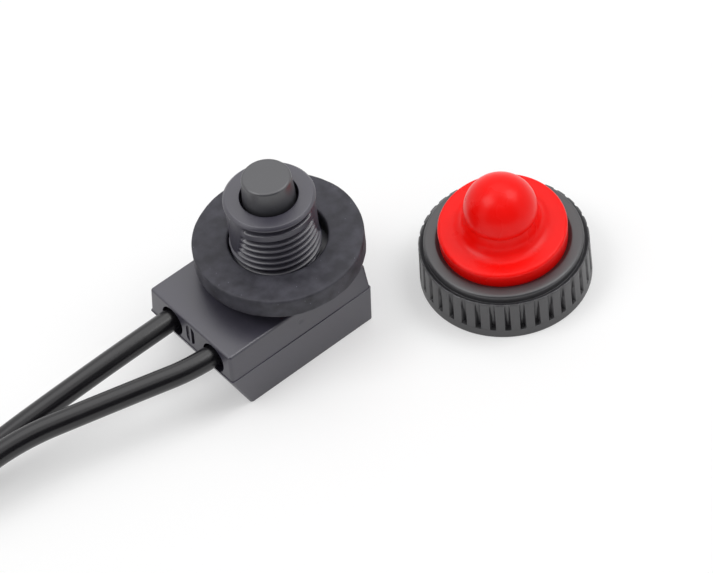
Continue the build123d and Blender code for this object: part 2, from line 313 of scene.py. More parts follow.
def rounded(corners, closed):
    """Points along an outline of (radius, height, rounding) corners, each turned by an arc."""
    points = []
    spots = [Vector(corner[:2]) for corner in corners]
    for index, corner in enumerate(corners):
        here = spots[index]
        rounding = corner[2]
        at_end = index in (0, len(corners) - 1) and not closed
        if not rounding or at_end:
            points.append(here)
            continue
        before = (spots[index - 1] - here).normalized()
        after = (spots[(index + 1) % len(spots)] - here).normalized()
        half = before.angle(after) / 2
        centre = here + (before + after).normalized() * (rounding / sin(half))
        first = here + before * (rounding / tan(half)) - centre
        last = here + after * (rounding / tan(half)) - centre
        start = atan2(first.y, first.x)
        sweep = (atan2(last.y, last.x) - start + pi) % tau - pi
        steps = max(ARC_STEPS, ceil(abs(sweep) * rounding / ARC_STEP))
        for step in range(steps + 1):
            angle = start + sweep * step / steps
            points.append(centre + Vector((cos(angle), sin(angle))) * rounding)
    return points


def divided(points, closed):
    """The same outline with its long stretches divided."""
    ends = points[1:] + points[:1] if closed else points[1:]
    dense = []
    for here, there in zip(points, ends):
        count = max(1, ceil((there - here).length / FINE_STEP))
        dense += [here.lerp(there, part / count) for part in range(count)]
    return dense if closed else dense + [points[-1]]


def ring(radius, height):
    """A level circle of points about the Z axis."""
    angles = [tau * column / COLUMNS for column in range(COLUMNS)]
    return [Vector((radius * cos(angle), radius * sin(angle), height)) for angle in angles]


def ring_mesh(name, rings, closed):
    """A mesh through rings of points, closed on itself or with its end rings filled."""
    columns = len(rings[0])
    faces = []
    for row in range(len(rings) if closed else len(rings) - 1):
        low = row * columns
        high = (row + 1) % len(rings) * columns
        for column in range(columns):
            after = (column + 1) % columns
            faces.append((low + column, low + after, high + after, high + column))
    if not closed:
        last = (len(rings) - 1) * columns
        faces.append(tuple(reversed(range(columns))))
        faces.append(tuple(range(last, last + columns)))
    mesh = bpy.data.meshes.new(name)
    mesh.from_pydata([point for circle in rings for point in circle], [], faces)
    shape = bmesh.new()
    shape.from_mesh(mesh)
    bmesh.ops.recalc_face_normals(shape, faces=shape.faces)
    shape.to_mesh(mesh)
    shape.free()
    return mesh


def turned_mesh(name, corners, closed=True):
    """A solid of revolution about Z from an outline with rounded corners."""
    outline = divided(rounded(corners, closed), closed)
    return ring_mesh(name, [ring(point.x, point.y) for point in outline], closed)


def node_shape(node):
    """A CAD node's surface, welded, with its flat faces whole."""
    shape = bmesh.new()
    shape.from_mesh(frame["nodes"][node].data)
    bmesh.ops.remove_doubles(shape, verts=shape.verts, dist=WELD)
    bmesh.ops.dissolve_limit(shape, angle_limit=FLAT_ANGLE, verts=shape.verts, edges=shape.edges)
    return shape


def soften(shape, width, chosen):
    """Rounds the sharp edges whose middle is chosen."""
    edges = []
    for edge in shape.edges:
        middle = (edge.verts[0].co + edge.verts[1].co) / 2
        if edge.is_manifold and edge.calc_face_angle() > SHARP_ANGLE and chosen(middle):
            edges.append(edge)
    bmesh.ops.bevel(
        shape,
        geom=edges,
        offset=width,
        segments=3,
        profile=0.5,
        affect="EDGES",
        clamp_overlap=False,
    )


def mesh_of(shape, name):
    """The shape as a mesh, with the shape itself freed."""
    mesh = bpy.data.meshes.new(name)
    shape.to_mesh(mesh)
    shape.free()
    return mesh


def near_sides(spot, low, high, reach):
    """Whether a spot lies within reach of the four upright sides of a box."""
    return max(abs(spot.y) - high.y, spot.x - high.x, low.x - spot.x) >= -reach


def joined(first, second):
    """The union of two closed meshes."""
    objects = [bpy.data.objects.new("joining", mesh) for mesh in (first, second)]
    for piece in objects:
        bpy.context.scene.collection.objects.link(piece)
    union = objects[0].modifiers.new("union", "BOOLEAN")
    union.operation = "UNION"
    union.solver = "EXACT"
    union.object = objects[1]
    bpy.context.view_layer.update()
    graph = bpy.context.evaluated_depsgraph_get()
    mesh = bpy.data.meshes.new_from_object(objects[0].evaluated_get(graph))
    mesh.name = first.name
    for piece in objects:
        bpy.data.objects.remove(piece)
    return mesh


def place(name, data, material, body, nodes):
    """Puts a piece in the scene, on its body, in place of the CAD nodes that it stands for."""
    piece = bpy.data.objects.new(name, data)
    bpy.context.scene.collection.objects.link(piece)
    data.materials.clear()
    data.materials.append(material)
    if piece.type == "MESH":
        data.shade_smooth()
        data.set_sharp_from_angle(angle=SHARP_ANGLE)
        weighted = piece.modifiers.new("weighted normals", "WEIGHTED_NORMAL")
        weighted.keep_sharp = True
    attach(piece, body)
    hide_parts(*nodes)
    return piece


def smooth_step(low, high, value):
    """An eased rise from nought at low to one at high."""
    part = min(1.0, max(0.0, (value - low) / (high - low)))
    return part * part * (3 - 2 * part)


# Materials


def set_inputs(tree, node, inputs):
    """Gives a node's sockets a value or another node's output."""
    for key, value in inputs.items():
        if isinstance(value, bpy.types.NodeSocket):
            tree.links.new(value, node.inputs[key])
        else:
            node.inputs[key].default_value = value


def add(tree, kind, inputs=None, **settings):
    """Adds a node with its settings, values and links."""
    node = tree.nodes.new(kind)
    for key, value in settings.items():
        setattr(node, key, value)
    set_inputs(tree, node, inputs or {})
    return node


def per_metre(millimetres):
    """A pattern's scale for features of that size."""
    return 1 / (millimetres * MM)


def new_material(name):
    """A new material with its node tree and its surface shader."""
    material = bpy.data.materials.new(name)
    material.use_nodes = True
    return material, material.node_tree, material.node_tree.nodes["Principled BSDF"]


def shade(colour, factor):
    """A colour made lighter or darker by a factor."""
    return (*[min(1.0, part * factor) for part in colour], 1.0)


def moulded_plastic(name, colour, roughness, grain_mm):
    """Black engineering plastic from a spark-textured mould: a fine grain spreads the light into a
    grey sheen, slightly uneven where the melt flowed, and rubbed edges look paler."""
    material, tree, shader = new_material(name)
    spot = add(tree, "ShaderNodeTexCoord").outputs["Object"]
    flow = add(tree, "ShaderNodeTexNoise", {"Vector": spot, "Scale": per_metre(4.0), "Detail": 4.0})
    grain = add(
        tree,
        "ShaderNodeTexNoise",
        {"Vector": spot, "Scale": per_metre(grain_mm), "Detail": 2.0},
    )
    body = add(
        tree,
        "ShaderNodeMix",
        {"Factor": flow.outputs["Fac"], "A": shade(colour, 0.8), "B": shade(colour, 1.2)},
        data_type="RGBA",
    )
    rubbed = add(tree, "ShaderNodeBevel", {"Radius": 0.25 * MM}, samples=4)
    normal = add(tree, "ShaderNodeNewGeometry").outputs["Normal"]
    facing = add(
        tree,
        "ShaderNodeVectorMath",
        {0: rubbed.outputs["Normal"], 1: normal},
        operation="DOT_PRODUCT",
    )
    edge = add(
        tree,
        "ShaderNodeMapRange",
        {"Value": facing.outputs["Value"], "From Min": 0.98, "From Max": 0.8, "To Max": 0.5},
    )
    surface = add(
        tree,
        "ShaderNodeMix",
        {"Factor": edge.outputs["Result"], "A": body.outputs["Result"], "B": shade(colour, 2.8)},
        data_type="RGBA",
    )
    rough = add(
        tree,
        "ShaderNodeMapRange",
        {"Value": flow.outputs["Fac"], "To Min": roughness - 0.06, "To Max": roughness + 0.08},
    )
    bump = add(
        tree,
        "ShaderNodeBump",
        {"Strength": 0.25, "Distance": 0.02 * MM, "Height": grain.outputs["Fac"]},
    )
    set_inputs(
        tree,
        shader,
        {
            "Base Color": surface.outputs["Result"],
            "Roughness": rough.outputs["Result"],
            "Normal": bump.outputs["Normal"],
            "IOR": 1.52,
            "Specular IOR Level": 0.85,
        },
    )
    return material


def nitrile_rubber(name, colour, dust_and_painted_light):
    """Moulded nitrile rubber, dusty and with bloom: dull, cloudy and flecked with pale specks. Its
    pale clouds are partly bloom and partly painted light, paler patches that stand in for light
    falling on the washer.
    """
    material, tree, shader = new_material(name)
    spot = add(tree, "ShaderNodeTexCoord").outputs["Object"]
    # Pale clouds of dusty bloom, partly painted light: paler patches that stand in for light
    # falling on the washer's side.
    dust_and_painted_light_noise = add(
        tree, "ShaderNodeTexNoise", {"Vector": spot, "Scale": per_metre(2.2), "Detail": 6.0}
    )
    dust_and_painted_light_share = add(
        tree,
        "ShaderNodeMapRange",
        {"Value": dust_and_painted_light_noise.outputs["Fac"], "From Min": 0.35, "From Max": 0.75, "To Max": 0.45},
    )
    body = add(
        tree,
        "ShaderNodeMix",
        {"Factor": dust_and_painted_light_share.outputs["Result"], "A": (*colour, 1.0), "B": (*dust_and_painted_light, 1.0)},
        data_type="RGBA",
    )
    specks = add(tree, "ShaderNodeTexVoronoi", {"Vector": spot, "Scale": per_metre(1.1)})
    speck = add(
        tree,
        "ShaderNodeMapRange",
        {"Value": specks.outputs["Distance"], "From Min": 0.07, "From Max": 0.04, "To Max": 0.7},
    )
    speckled = add(
        tree,
        "ShaderNodeMix",
        {"Factor": speck.outputs["Result"], "A": body.outputs["Result"], "B": shade(dust_and_painted_light, 1.6)},
        data_type="RGBA",
    )
    grain = add(
        tree, "ShaderNodeTexNoise", {"Vector": spot, "Scale": per_metre(0.3), "Detail": 3.0}
    )
    bump = add(
        tree,
        "ShaderNodeBump",
        {"Strength": 0.4, "Distance": 0.03 * MM, "Height": grain.outputs["Fac"]},
    )
    rough = add(
        tree, "ShaderNodeMapRange", {"Value": dust_and_painted_light_noise.outputs["Fac"], "To Min": 0.5, "To Max": 0.75}
    )
    set_inputs(
        tree,
        shader,
        {
            "Base Color": speckled.outputs["Result"],
            "Roughness": rough.outputs["Result"],
            "Normal": bump.outputs["Normal"],
            "IOR": 1.5,
        },
    )
    return material


def silicone_rubber(name, colour):
    """Red silicone rubber from a polished mould: light goes a little way in, under a soft sheen."""
    material, tree, shader = new_material(name)
    spot = add(tree, "ShaderNodeTexCoord").outputs["Object"]
    flow = add(tree, "ShaderNodeTexNoise", {"Vector": spot, "Scale": per_metre(5.0), "Detail": 3.0})
    body = add(
        tree,
        "ShaderNodeMix",
        {"Factor": flow.outputs["Fac"], "A": shade(colour, 0.92), "B": shade(colour, 1.06)},
        data_type="RGBA",
    )
    skin = add(tree, "ShaderNodeTexNoise", {"Vector": spot, "Scale": per_metre(0.6), "Detail": 2.0})
    bump = add(
        tree,
        "ShaderNodeBump",
        {"Strength": 0.15, "Distance": 0.02 * MM, "Height": skin.outputs["Fac"]},
    )
    rough = add(
        tree, "ShaderNodeMapRange", {"Value": flow.outputs["Fac"], "To Min": 0.24, "To Max": 0.32}
    )
    set_inputs(
        tree,
        shader,
        {
            "Base Color": body.outputs["Result"],
            "Roughness": rough.outputs["Result"],
            "Normal": bump.outputs["Normal"],
            "IOR": 1.41,
            "Specular IOR Level": 0.27,
            "Subsurface Weight": 0.15,
            "Subsurface Radius": (1.0, 0.1, 0.05),
            "Subsurface Scale": 1.0 * MM,
        },
    )
    return material


def extruded_pvc(name, colour):
    """Black PVC drawn through a die: smooth and half glossy, with a faint orange peel."""
    material, tree, shader = new_material(name)
    spot = add(tree, "ShaderNodeTexCoord").outputs["Object"]
    flow = add(tree, "ShaderNodeTexNoise", {"Vector": spot, "Scale": per_metre(3.0), "Detail": 3.0})
    peel = add(tree, "ShaderNodeTexNoise", {"Vector": spot, "Scale": per_metre(0.8), "Detail": 2.0})
    body = add(
        tree,
        "ShaderNodeMix",
        {"Factor": flow.outputs["Fac"], "A": shade(colour, 0.85), "B": shade(colour, 1.15)},
        data_type="RGBA",
    )
    rough = add(
        tree, "ShaderNodeMapRange", {"Value": flow.outputs["Fac"], "To Min": 0.18, "To Max": 0.3}
    )
    bump = add(
        tree,
        "ShaderNodeBump",
        {"Strength": 0.12, "Distance": 0.03 * MM, "Height": peel.outputs["Fac"]},
    )
    set_inputs(
        tree,
        shader,
        {
            "Base Color": body.outputs["Result"],
            "Roughness": rough.outputs["Result"],
            "Normal": bump.outputs["Normal"],
            "IOR": 1.53,
        },
    )
    return material


def worked_metal(name, colour, roughness, line_mm):
    """Drawn or stamped metal: fine lines from the die break up its shine."""
    material, tree, shader = new_material(name)
    spot = add(tree, "ShaderNodeTexCoord").outputs["Object"]
    along = add(tree, "ShaderNodeMapping", {"Vector": spot, "Scale": (0.1, 1.0, 1.0)})
    lines = add(
        tree,
        "ShaderNodeTexNoise",
        {"Vector": along.outputs["Vector"], "Scale": per_metre(line_mm), "Detail": 3.0},
    )
    tarnish = add(
        tree, "ShaderNodeTexNoise", {"Vector": spot, "Scale": per_metre(1.5), "Detail": 4.0}
    )
    body = add(
        tree,
        "ShaderNodeMix",
        {"Factor": tarnish.outputs["Fac"], "A": shade(colour, 0.8), "B": shade(colour, 1.1)},
        data_type="RGBA",
    )
    rough = add(
        tree,
        "ShaderNodeMapRange",
        {"Value": lines.outputs["Fac"], "To Min": roughness - 0.08, "To Max": roughness + 0.1},
    )
    bump = add(
        tree,
        "ShaderNodeBump",
        {"Strength": 0.15, "Distance": 0.01 * MM, "Height": lines.outputs["Fac"]},
    )
    set_inputs(
        tree,
        shader,
        {
            "Base Color": body.outputs["Result"],
            "Metallic": 1.0,
            "Roughness": rough.outputs["Result"],
            "Normal": bump.outputs["Normal"],
        },
    )
    return material


def seen_share(tree):
    """One for rays from the camera, a reflection or a transmission, and nought for light's own."""
    rays = add(tree, "ShaderNodeLightPath").outputs
    share = rays["Is Camera Ray"]
    for other in ("Is Glossy Ray", "Is Transmission Ray"):
        larger = add(tree, "ShaderNodeMath", {0: share, 1: rays[other]}, operation="MAXIMUM")
        share = larger.outputs["Value"]
    return share


def white_paper(name):
    """Matt white paper sweep: to the eye it glows nearly white and keeps a part of the shadows."""
    material, tree, shader = new_material(name)
    seen = seen_share(tree)
    tone = add(
        tree,
        "ShaderNodeMix",
        {"Factor": seen, "A": (*linear(PAPER), 1.0), "B": (*linear(PAPER_SEEN), 1.0)},
        data_type="RGBA",
    )
    glow = add(tree, "ShaderNodeMapRange", {"Value": seen, "To Max": FLOOR_GLOW})
    set_inputs(
        tree,
        shader,
        {
            "Base Color": tone.outputs["Result"],
            "Roughness": 1.0,
            "Specular IOR Level": 0.0,
            "Emission Color": (1, 1, 1, 1),
            "Emission Strength": glow.outputs["Result"],
        },
    )
    return material


def housing_material():
    """The plastic of both housing halves, made once."""
    known = bpy.data.materials.get("black_abs_spark_textured")
    colours = bpy.context.scene.switch_colours
    # The real grain is about a tenth of a millimetre, drawn coarser so that it shows.
    return known or moulded_plastic("black_abs_spark_textured", colours.housing, 0.36, 0.22)


# Pieces


def make_base(sizes):
    """The lower housing half, with its outer edges rounded."""
    shape = node_shape("base_shell")
    low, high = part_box("base_shell")

    def at_foot(spot):
        return spot.z < low.z + HAIR

    def at_rim(spot):
        return abs(spot.z - PARTING) < HAIR and near_sides(spot, low, high, sizes.edge * 2)

    soften(shape, sizes.edge, at_foot)
    soften(shape, sizes.edge / 2, at_rim)
    mesh = mesh_of(shape, "housing_base")
    material = housing_material()
    place("housing_base", mesh, material, "housing", ["base_shell"])


def thread_inset(sizes, angle, height):
    """How far the bushing's wall lies inside its crests. The thread is right-handed, its first turn
    is thick, under a groove below the plain rim, and the two plain lands interrupt it."""
    turn = (angle - sizes.land_angle) % tau + sizes.land_angle - FIRST_CREST_BEARING
    above = (height - FIRST_CREST) / sizes.thread_pitch - turn / tau
    ridge = abs(2 * (above - floor(above)) - 1)
    groove = 1 - smooth_step(GROOVE_FLOOR, CREST_EDGE, ridge)
    if above > 0:
        groove = smooth_step(TOP_GROOVE_START, TOP_GROOVE_DEEP, above)
    rim = smooth_step(0, RIM_EASE, BUSHING_TOP - sizes.thread_rim - height)
    inset = sizes.thread_depth * groove * rim
    rise = max(0.0, (height - LAND_FOOT) / (BUSHING_TOP - LAND_FOOT))
    half = sizes.land_half * rise**LAND_TAPER
    turn = (angle - sizes.land_angle) % pi
    land = 1 - smooth_step(half - LAND_EDGE, half + LAND_EDGE, min(turn, pi - turn))
    inset = inset * (1 - land) + sizes.land_depth * land * rim
    return max(inset, sizes.thread_depth * (1 - smooth_step(RUN_OUT_LOW, RUN_OUT_HIGH, height)))


def threaded_ring(sizes):
    """The bushing from its neck up: threaded outside, with the guide and plunger bores inside."""
    foot = BUSHING_CUT - BUSHING_SINK
    chamfer = BUSHING_TOP - BUSHING_CHAMFER
    step = sizes.thread_pitch / THREAD_ROWS_PER_TURN
    count = ceil((chamfer - foot) / step)
    rings = []
    for row in range(count + 1):
        height = foot + (chamfer - foot) * row / count
        points = ring(CREST_RADIUS, height)
        for point in points:
            angle = atan2(point.y, point.x)
            share = 1 - thread_inset(sizes, angle, height) / CREST_RADIUS
            point.x *= share
            point.y *= share
        rings.append(points)
    inner = [
        (CREST_RADIUS, chamfer, 0),
        (CREST_RADIUS - BUSHING_CHAMFER, BUSHING_TOP, 0.12 * MM),
        (GUIDE_MOUTH, BUSHING_TOP, 0.1 * MM),
        (GUIDE_MOUTH, BUSHING_TOP - GUIDE_MOUTH_DEPTH, 0),
        (GUIDE_BORE, BUSHING_TOP - GUIDE_MOUTH_DEPTH, 0),
        (GUIDE_BORE, GUIDE_SHOULDER, 0),
        (PLUNGER_BORE, GUIDE_SHOULDER, 0),
        (PLUNGER_BORE, BUSHING_CUT + BUSHING_SINK, 0),
        (PLUNGER_BORE + BUSHING_SINK, foot, 0),
    ]
    outline = divided(rounded(inner, False), False)
    rings += [ring(point.x, point.y) for point in outline[1:]]
    return ring_mesh("threaded_ring", rings, True)


def make_cover(sizes):
    """The upper housing half with its lead notches and marks, and the threaded bushing."""
    shape = node_shape("bushing_cover")
    everything = shape.verts[:] + shape.edges[:] + shape.faces[:]
    cut = bmesh.ops.bisect_plane(
        shape, geom=everything, plane_co=(0, 0, BUSHING_CUT), plane_no=(0, 0, 1), clear_outer=True
    )
    rim = [part for part in cut["geom_cut"] if isinstance(part, bmesh.types.BMEdge)]
    bmesh.ops.bridge_loops(shape, edges=rim)

    def at_parting(spot):
        return abs(spot.z - PARTING) < HAIR and near_sides(spot, COVER_LOW, COVER_HIGH, sizes.edge)

    soften(shape, sizes.edge / 2, at_parting)
    mesh = joined(mesh_of(shape, "housing_cover"), threaded_ring(sizes))
    material = housing_material()
    place("housing_cover", mesh, material, "housing", ["bushing_cover"])


def make_button():
    """The push button, in the shape that the CAD gives it."""
    mesh = mesh_of(node_shape("push_button"), "plunger")
    colours = bpy.context.scene.switch_colours
    material = moulded_plastic("black_acetal_moulded", colours.button, 0.36, 0.25)
    place("plunger", mesh, material, "button", ["push_button"])


def make_washer(sizes):
    """The thick washer, a little off centre, with an uneven outline and flash at its lower rim."""
    outer = (WASHER_HIGH.x - WASHER_LOW.x) / 2
    corners = [
        (WASHER_HOLE, WASHER_LOW.z, 0.2 * MM),
        (outer, WASHER_LOW.z, 0.25 * MM),
        (outer, WASHER_HIGH.z, 0.3 * MM),
        (WASHER_HOLE, WASHER_HIGH.z, 0.3 * MM),
    ]
    mesh = turned_mesh("washer", corners)
    for vertex in mesh.vertices:
        spot = vertex.co
        outwards = Vector((spot.x, spot.y, 0)).normalized()
        near_rim = smooth_step(WASHER_HOLE, outer, Vector((spot.x, spot.y)).length)
        slow = noise.noise(outwards * WASHER_WAVES + WASHER_NOISE_AT)
        ragged = noise.noise(spot * per_metre(FLASH_LUMP_MM))
        foot = smooth_step(WASHER_LOW.z + FLASH_HEIGHT, WASHER_LOW.z, spot.z)
        wander = sizes.washer_wander * near_rim
        spot += outwards * wander * (slow + ragged * FLASH_SHARE * foot)
        spot.z += wander * TOP_SHARE * ragged * (1 - foot)
        vertex.co = spot + WASHER_OFF_CENTRE
    colours = bpy.context.scene.switch_colours
    material = nitrile_rubber("black_nitrile_moulded", colours.washer, colours.dust_and_painted_light)
    place("washer", mesh, material, "housing", ["sealing_washer"])


def nut_columns(sizes):
    """Bearings around the nut, with how far down into a slot each one lies."""
    period = tau / sizes.slot_count
    half = sizes.slot_width / 2 / NUT_RADIUS
    lip = SLOT_LIP / NUT_RADIUS
    across = [
        (-0.5 * period, 0.0),
        (-0.38 * period, 0.0),
        (-half - lip, 0.0),
        (-half, 0.08),
        (-0.62 * half, 0.85),
        (-0.35 * half, 1.0),
        (0.0, 1.0),
        (0.35 * half, 1.0),
        (0.62 * half, 0.85),
        (half, 0.08),
        (half + lip, 0.0),
        (0.38 * period, 0.0),
    ]
    starts = [slot * period for slot in range(sizes.slot_count)]
    return [(start + turn, depth) for start in starts for turn, depth in across]


def make_nut(sizes):
    """The cap nut: grip ribs under a rounded rim, a seat for the boot and a plain bore."""
    height = NUT_HIGH.z
    rib = NUT_RADIUS - RIB_DRAFT
    corners = [
        (NUT_BORE, 0, 0.2 * MM),
        (NUT_RADIUS, 0, 0.1 * MM),
        (rib, RIB_TOP, 0.12 * MM),
        (NUT_RIM, RIB_TOP - RIB_SLOPE, 0.05 * MM),
        (NUT_RIM, height, 0.35 * MM),
        (NUT_DISH, height, 0.4 * MM),
        (NUT_MOUTH, height - NUT_DISH_DEPTH, 0.12 * MM),
        (NUT_MOUTH, NUT_SEAT_HIGH, 0),
        (NUT_SEAT, NUT_SEAT_HIGH, 0),
        (NUT_SEAT, NUT_SEAT_LOW, 0),
        (NUT_BORE, NUT_SEAT_LOW, 0),
    ]
    outline = divided(rounded(corners, True), True)
    low, high = SLOT_FOOT - SLOT_FOOT_EASE, SLOT_FOOT + SLOT_FOOT_EASE
    on_wall = [point for point in outline if point.x > rib and point.y > high]
    start = outline.index(min(on_wall, key=lambda point: point.y))
    wall = outline[start].x
    outline[start:start] = [Vector((wall, low)), Vector((wall, high))]
    columns = nut_columns(sizes)
    rings = []
    for point in outline:
        climb = min(1.0, max(0.0, (point.y - SLOT_FOOT) / (RIB_TOP - SLOT_FOOT)))
        slot_floor = NUT_RADIUS - sizes.slot_depth * (1 - SLOT_RISE * climb)
        slotted = point.y > SLOT_FOOT and point.x > slot_floor
        depth = point.x - slot_floor if slotted else 0.0
        circle = []
        for angle, share in columns:
            radius = point.x - depth * share
            circle.append(Vector((radius * cos(angle), radius * sin(angle), point.y)))
        rings.append(circle)
    mesh = ring_mesh("cap_nut", rings, True)
    mesh.transform(Matrix.Translation(CAP_CENTRE))
    colours = bpy.context.scene.switch_colours
    material = moulded_plastic("black_nylon_moulded", colours.nut, 0.4, 0.25)
    place("cap_nut", mesh, material, "housing", ["knurled_nut"])


def make_boot():
    """The rubber boot, askew in the nut: a flange, a plate, a flared neck and a dome with a lip."""
    corners = [
        (BOOT_POLE, BOOT_BUTTON_ROOF, 0),
        (BOOT_BUTTON_ROOM, BOOT_BUTTON_ROOF, 0.6 * MM),
        (BOOT_BUTTON_ROOM, BOOT_BUSHING_ROOF, 0),
        (BOOT_BUSHING_ROOM, BOOT_BUSHING_ROOF, 0.3 * MM),
        (BOOT_BUSHING_ROOM, NUT_SEAT_LOW, 0),
        (BOOT_FLANGE, NUT_SEAT_LOW, 0),
        (BOOT_FLANGE, NUT_SEAT_HIGH, 0),
        (BOOT_WAIST, NUT_SEAT_HIGH, 0),
        (BOOT_WAIST, NUT_HIGH.z - NUT_DISH_DEPTH, 0),
        (BOOT_SKIRT, BOOT_SKIRT_LOW, 0),
        (BOOT_PLATE, BOOT_PLATE_TOP, 0.4 * MM),
        (BOOT_FOOT, BOOT_PLATE_TOP, BOOT_FOOT_SWEEP),
        (BOOT_NECK, BOOT_LIP, 0.05 * MM),
        (BOOT_DOME, BOOT_LIP, 0.22 * MM),
    ]
    for step in range(DOME_STEPS + 1):
        angle = pi / 2 * (1 - step / DOME_STEPS)
        radius = max(BOOT_POLE, BOOT_DOME * sin(angle))
        corners.append((radius, BOOT_DOME_CENTRE + BOOT_DOME * cos(angle), 0))
    mesh = turned_mesh("boot", corners, closed=False)
    lean_axis = Vector((-sin(BOOT_LEAN_BEARING), cos(BOOT_LEAN_BEARING), 0))
    pivot = Vector((0, 0, NUT_HIGH.z))
    for vertex in mesh.vertices:
        lean = BOOT_LEAN * smooth_step(BOOT_LEAN_FROM, BOOT_PLATE_TOP, vertex.co.z)
        vertex.co = pivot + Matrix.Rotation(lean, 3, lean_axis) @ (vertex.co - pivot)
    mesh.transform(Matrix.Translation(CAP_CENTRE))
    colours = bpy.context.scene.switch_colours
    material = silicone_rubber("red_silicone_moulded", colours.boot)
    place("boot", mesh, material, "housing", ["rubber_boot"])


def make_strands(sizes, name, end, along, node, material):
    """The stripped end of a lead: tinned strands twisted round a middle one."""
    core = (TIP_HIGH.z - TIP_LOW.z) / 2
    strand = core / 3
    twist = tau * TIP_LENGTH / STRAND_LAY
    across = along.orthogonal().normalized()
    third = along.cross(across)
    shape = bmesh.new()
    bearings = [None] + [tau * index / sizes.strand_count for index in range(sizes.strand_count)]
    for bearing in bearings:
        circles = []
        for row in range(STRAND_ROWS + 1):
            part = row / STRAND_ROWS
            centre = end + along * (TIP_LENGTH * part)
            if bearing is not None:
                turn = bearing + twist * part
                centre = centre + (across * cos(turn) + third * sin(turn)) * (2 * strand)
            circle = []
            for side in range(STRAND_SIDES):
                angle = tau * side / STRAND_SIDES
                offset = (across * cos(angle) + third * sin(angle)) * strand
                circle.append(shape.verts.new(centre + offset))
            circles.append(circle)
        for low, high in zip(circles, circles[1:]):
            for side in range(STRAND_SIDES):
                after = (side + 1) % STRAND_SIDES
                shape.faces.new((low[side], low[after], high[after], high[side]))
        shape.faces.new(tuple(reversed(circles[0])))
        shape.faces.new(circles[-1])
    bmesh.ops.recalc_face_normals(shape, faces=shape.faces)
    return place(name, mesh_of(shape, name), material, "housing", [node])


def make_leads(sizes):
    """Both leads, each along its route, with its stripped end."""
    colours = bpy.context.scene.switch_colours
    insulation = extruded_pvc("black_pvc_extruded", colours.insulation)
    tinned = worked_metal("tinned_copper_drawn", colours.tin, 0.35, 0.15)
    for side, route in (("far", FAR_ROUTE), ("near", NEAR_ROUTE)):
        points = [Vector(point) * MM for point in route]
        curve = bpy.data.curves.new(side + "_wire", "CURVE")
        curve.dimensions = "3D"
        curve.resolution_u = 16
        curve.bevel_depth = sizes.lead_diameter / 2
        curve.bevel_resolution = 8
        curve.use_fill_caps = True
        spline = curve.splines.new("NURBS")
        spline.points.add(len(points) - 1)
        for control, point in zip(spline.points, points):
            control.co = (*point, 1.0)
        spline.order_u = 3
        spline.use_endpoint_u = True
        node = side + "_lead"
        wire = place(side + "_wire", curve, insulation, "housing", [node])
        along = (points[-1] - points[-2]).normalized()
        tip = make_strands(sizes, side + "_strands", points[-1], along, node + "_tip", tinned)


def dress(nodes, material):
    """Gives CAD nodes that keep their own shape a finish."""
    for node in nodes:
        data = frame["nodes"][node].data
        data.materials.clear()
        data.materials.append(material)


def make_inner_works():
    """Finishes for the spring, the contacts and the terminals inside the housing."""
    colours = bpy.context.scene.switch_colours
    both = ("far_", "near_")
    brass = worked_metal("stamped_brass", colours.brass, 0.35, 0.2)
    silver = worked_metal("coined_silver", colours.silver, 0.25, 0.1)
    steel = worked_metal("spring_steel_drawn", colours.steel, 0.3, 0.1)
    dress(["contact_bridge"] + [side + "terminal" for side in both], brass)
    dress([side + kind for side in both for kind in ("bridge_contact", "fixed_contact")], silver)
    dress(["return_spring", "bridge_retainer"], steel)
    dress([side + "lead_core" for side in both], bpy.data.materials["tinned_copper_drawn"])


# Stage


def view_axes():
    """Right, up and back of the camera."""
    sin_a, cos_a = sin(CAMERA_AZIMUTH), cos(CAMERA_AZIMUTH)
    sin_e, cos_e = sin(CAMERA_ELEVATION), cos(CAMERA_ELEVATION)
    back = Vector((sin_a * cos_e, -cos_a * cos_e, sin_e))
    right = Vector((cos_a, sin_a, 0))
    up = back.cross(right)
    turn_c, turn_s = cos(CAMERA_ROLL), sin(CAMERA_ROLL)
    return right * turn_c + up * turn_s, up * turn_c - right * turn_s, back


def make_camera():
    """The camera, where it sees the switch as the photograph does."""
    right, up, back = view_axes()
    data = bpy.data.cameras.new("camera")
    data.sensor_width = SENSOR_WIDTH
    data.sensor_fit = "HORIZONTAL"
    data.lens = FOCAL_PIXELS * SENSOR_WIDTH / PHOTO_WIDTH
    data.clip_start = 1 * MM
    camera = bpy.data.objects.new("camera", data)
    facing = Matrix((right, up, back)).transposed().to_4x4()
    camera.matrix_world = Matrix.Translation(CAMERA_TARGET + back * CAMERA_DISTANCE) @ facing
    bpy.context.scene.collection.objects.link(camera)
    bpy.context.scene.camera = camera


def make_lamp(name, direction, size, power):
    """A soft square lamp that faces the switch from a direction."""
    data = bpy.data.lights.new(name, "AREA")
    data.size = size
    data.energy = power
    lamp = bpy.data.objects.new(name, data)
    towards = Vector(direction).normalized()
    lamp.location = CAMERA_TARGET + towards * LAMP_DISTANCE
    lamp.rotation_euler = towards.to_track_quat("Z", "Y").to_euler()
    bpy.context.scene.collection.objects.link(lamp)


